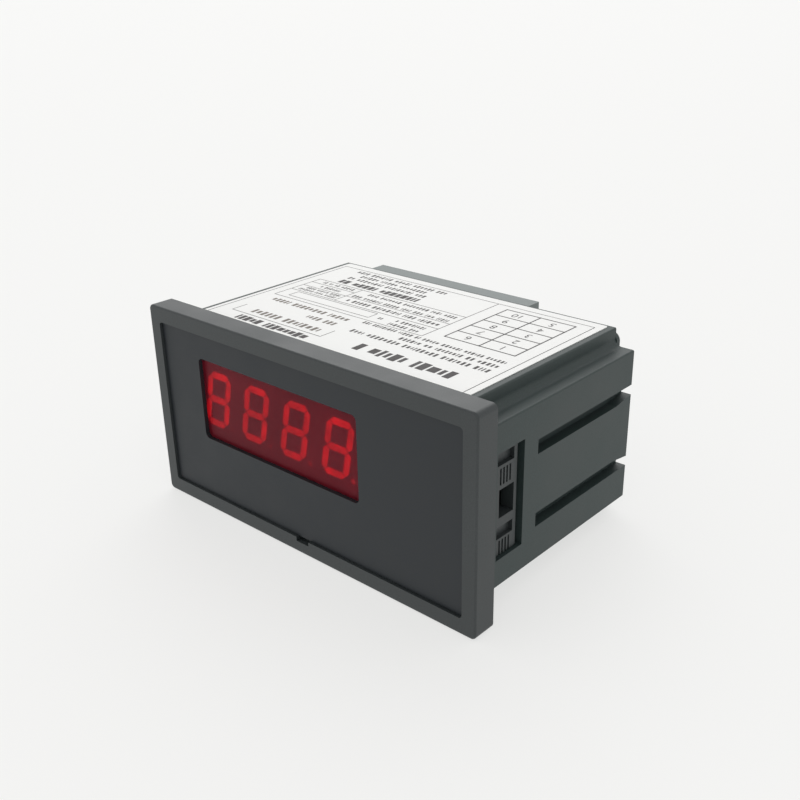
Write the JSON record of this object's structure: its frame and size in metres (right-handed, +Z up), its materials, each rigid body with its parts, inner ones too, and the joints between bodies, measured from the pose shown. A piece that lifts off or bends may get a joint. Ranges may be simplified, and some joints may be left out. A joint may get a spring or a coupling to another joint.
{
  "type": "digital panel meter",
  "caption": "Rectangular panel-mount digital meter with a red LED read-out, a sleeve case and a plug-off screw terminal block at the rear.",
  "frame": {"origin": "centre of the front frame's rear face, which presses on the instrument panel", "axes": "+X to the right seen from the front, +Y from the front to the back, +Z up"},
  "size_m": [0.096, 0.0677, 0.048],
  "materials": {
    "frame_plastic": "fine sparked texture",
    "panel_plastic": "smooth satin",
    "red_filter": "polished clear red",
    "case_plastic": "fine sparked texture",
    "label_film": "satin printed film",
    "digit_shell": "flat dark grey",
    "digit_resin": "diffusing red resin",
    "circuit_board": "green solder resist",
    "black_moulding": "as moulded",
    "chip_epoxy": "fine matt",
    "tinned_brass": "tin plated",
    "zinc_steel": "bright zinc plated",
    "trimmer_plastic": "as moulded",
    "core_steel": "varnished laminations",
    "winding_tape": "polyester tape",
    "can_sleeve": "shrunk sleeve",
    "film_resin": "dipped resin",
    "terminal_plastic": "as moulded"
  },
  "bodies": {
    "housing": {"bezel_frame": "frame_plastic", "front_panel": "panel_plastic", "red_filter": "red_filter", "case_body": "case_plastic", "rear_cover": "case_plastic", "top_label": "label_film", "digit_1": "digit_shell", "digit_segments_1": "digit_resin", "digit_2": "digit_shell", "digit_segments_2": "digit_resin", "digit_3": "digit_shell", "digit_segments_3": "digit_resin", "digit_4": "digit_shell", "digit_segments_4": "digit_resin", "display_board": "circuit_board", "board_screws": "zinc_steel", "main_board": "circuit_board", "board_link": "black_moulding", "link_pins": "tinned_brass", "chip_socket": "black_moulding", "converter_chip": "chip_epoxy", "zero_trimmer": "trimmer_plastic", "span_trimmer": "trimmer_plastic", "transformer_core": "core_steel", "transformer_bobbin": "black_moulding", "transformer_winding": "winding_tape", "smoothing_capacitor": "can_sleeve", "voltage_regulator": "chip_epoxy", "bridge_rectifier": "chip_epoxy", "fuse": "black_moulding", "film_capacitor_1": "film_resin", "film_capacitor_2": "film_resin", "film_capacitor_3": "film_resin", "terminal_header": "black_moulding", "header_pins": "tinned_brass"},
    "plug": {"terminal_plug": "terminal_plastic", "plug_contacts": "tinned_brass"},
    "clamp_screw_1": {"terminal_screw_1": "zinc_steel"},
    "cage_1": {"clamp_cage_1": "zinc_steel"},
    "clamp_screw_2": {"terminal_screw_2": "zinc_steel"},
    "cage_2": {"clamp_cage_2": "zinc_steel"},
    "clamp_screw_3": {"terminal_screw_3": "zinc_steel"},
    "cage_3": {"clamp_cage_3": "zinc_steel"},
    "clamp_screw_4": {"terminal_screw_4": "zinc_steel"},
    "cage_4": {"clamp_cage_4": "zinc_steel"},
    "clamp_screw_5": {"terminal_screw_5": "zinc_steel"},
    "cage_5": {"clamp_cage_5": "zinc_steel"},
    "clamp_screw_6": {"terminal_screw_6": "zinc_steel"},
    "cage_6": {"clamp_cage_6": "zinc_steel"},
    "clamp_screw_7": {"terminal_screw_7": "zinc_steel"},
    "cage_7": {"clamp_cage_7": "zinc_steel"},
    "clamp_screw_8": {"terminal_screw_8": "zinc_steel"},
    "cage_8": {"clamp_cage_8": "zinc_steel"},
    "clamp_screw_9": {"terminal_screw_9": "zinc_steel"},
    "cage_9": {"clamp_cage_9": "zinc_steel"},
    "clamp_screw_10": {"terminal_screw_10": "zinc_steel"},
    "cage_10": {"clamp_cage_10": "zinc_steel"},
    "zero_rotor": {"zero_trimmer_screw": "tinned_brass"},
    "span_rotor": {"span_trimmer_screw": "tinned_brass"}
  },
  "joints": [
    {"name": "plug_slide", "type": "slide", "parent": "housing", "child": "plug", "axis": [0, 1, 0], "range_m": [0, 0.009]},
    {"name": "terminal_screw_1_turn", "type": "hinge", "parent": "plug", "child": "clamp_screw_1", "pos_m": [-0.03396, 0.05805, 0.00855], "axis": [0, 0, -1], "range_deg": [0, 1800]},
    {"name": "clamp_cage_1_lift", "type": "slide", "parent": "plug", "child": "cage_1", "axis": [0, 0, 1], "range_m": [0, 0.0025]},
    {"name": "terminal_screw_2_turn", "type": "hinge", "parent": "plug", "child": "clamp_screw_2", "pos_m": [-0.02888, 0.05805, 0.00855], "axis": [0, 0, -1], "range_deg": [0, 1800]},
    {"name": "clamp_cage_2_lift", "type": "slide", "parent": "plug", "child": "cage_2", "axis": [0, 0, 1], "range_m": [0, 0.0025]},
    {"name": "terminal_screw_3_turn", "type": "hinge", "parent": "plug", "child": "clamp_screw_3", "pos_m": [-0.0238, 0.05805, 0.00855], "axis": [0, 0, -1], "range_deg": [0, 1800]},
    {"name": "clamp_cage_3_lift", "type": "slide", "parent": "plug", "child": "cage_3", "axis": [0, 0, 1], "range_m": [0, 0.0025]},
    {"name": "terminal_screw_4_turn", "type": "hinge", "parent": "plug", "child": "clamp_screw_4", "pos_m": [-0.01872, 0.05805, 0.00855], "axis": [0, 0, -1], "range_deg": [0, 1800]},
    {"name": "clamp_cage_4_lift", "type": "slide", "parent": "plug", "child": "cage_4", "axis": [0, 0, 1], "range_m": [0, 0.0025]},
    {"name": "terminal_screw_5_turn", "type": "hinge", "parent": "plug", "child": "clamp_screw_5", "pos_m": [-0.01364, 0.05805, 0.00855], "axis": [0, 0, -1], "range_deg": [0, 1800]},
    {"name": "clamp_cage_5_lift", "type": "slide", "parent": "plug", "child": "cage_5", "axis": [0, 0, 1], "range_m": [0, 0.0025]},
    {"name": "terminal_screw_6_turn", "type": "hinge", "parent": "plug", "child": "clamp_screw_6", "pos_m": [-0.00856, 0.05805, 0.00855], "axis": [0, 0, -1], "range_deg": [0, 1800]},
    {"name": "clamp_cage_6_lift", "type": "slide", "parent": "plug", "child": "cage_6", "axis": [0, 0, 1], "range_m": [0, 0.0025]},
    {"name": "terminal_screw_7_turn", "type": "hinge", "parent": "plug", "child": "clamp_screw_7", "pos_m": [-0.00348, 0.05805, 0.00855], "axis": [0, 0, -1], "range_deg": [0, 1800]},
    {"name": "clamp_cage_7_lift", "type": "slide", "parent": "plug", "child": "cage_7", "axis": [0, 0, 1], "range_m": [0, 0.0025]},
    {"name": "terminal_screw_8_turn", "type": "hinge", "parent": "plug", "child": "clamp_screw_8", "pos_m": [0.0016, 0.05805, 0.00855], "axis": [0, 0, -1], "range_deg": [0, 1800]},
    {"name": "clamp_cage_8_lift", "type": "slide", "parent": "plug", "child": "cage_8", "axis": [0, 0, 1], "range_m": [0, 0.0025]},
    {"name": "terminal_screw_9_turn", "type": "hinge", "parent": "plug", "child": "clamp_screw_9", "pos_m": [0.00668, 0.05805, 0.00855], "axis": [0, 0, -1], "range_deg": [0, 1800]},
    {"name": "clamp_cage_9_lift", "type": "slide", "parent": "plug", "child": "cage_9", "axis": [0, 0, 1], "range_m": [0, 0.0025]},
    {"name": "terminal_screw_10_turn", "type": "hinge", "parent": "plug", "child": "clamp_screw_10", "pos_m": [0.01176, 0.05805, 0.00855], "axis": [0, 0, -1], "range_deg": [0, 1800]},
    {"name": "clamp_cage_10_lift", "type": "slide", "parent": "plug", "child": "cage_10", "axis": [0, 0, 1], "range_m": [0, 0.0025]},
    {"name": "zero_trimmer_turn", "type": "hinge", "parent": "housing", "child": "zero_rotor", "pos_m": [0.0008, 0.0002, -0.01035], "axis": [0, -1, 0], "range_deg": [-135, 135]},
    {"name": "span_trimmer_turn", "type": "hinge", "parent": "housing", "child": "span_rotor", "pos_m": [-0.0192, 0.0002, -0.01035], "axis": [0, -1, 0], "range_deg": [-135, 135]}
  ],
  "couplings": [
    {"joint": "terminal_screw_1_turn", "follows": "clamp_cage_1_lift", "rad_per_m": 12566},
    {"joint": "terminal_screw_2_turn", "follows": "clamp_cage_2_lift", "rad_per_m": 12566},
    {"joint": "terminal_screw_3_turn", "follows": "clamp_cage_3_lift", "rad_per_m": 12566},
    {"joint": "terminal_screw_4_turn", "follows": "clamp_cage_4_lift", "rad_per_m": 12566},
    {"joint": "terminal_screw_5_turn", "follows": "clamp_cage_5_lift", "rad_per_m": 12566},
    {"joint": "terminal_screw_6_turn", "follows": "clamp_cage_6_lift", "rad_per_m": 12566},
    {"joint": "terminal_screw_7_turn", "follows": "clamp_cage_7_lift", "rad_per_m": 12566},
    {"joint": "terminal_screw_8_turn", "follows": "clamp_cage_8_lift", "rad_per_m": 12566},
    {"joint": "terminal_screw_9_turn", "follows": "clamp_cage_9_lift", "rad_per_m": 12566},
    {"joint": "terminal_screw_10_turn", "follows": "clamp_cage_10_lift", "rad_per_m": 12566}
  ]
}
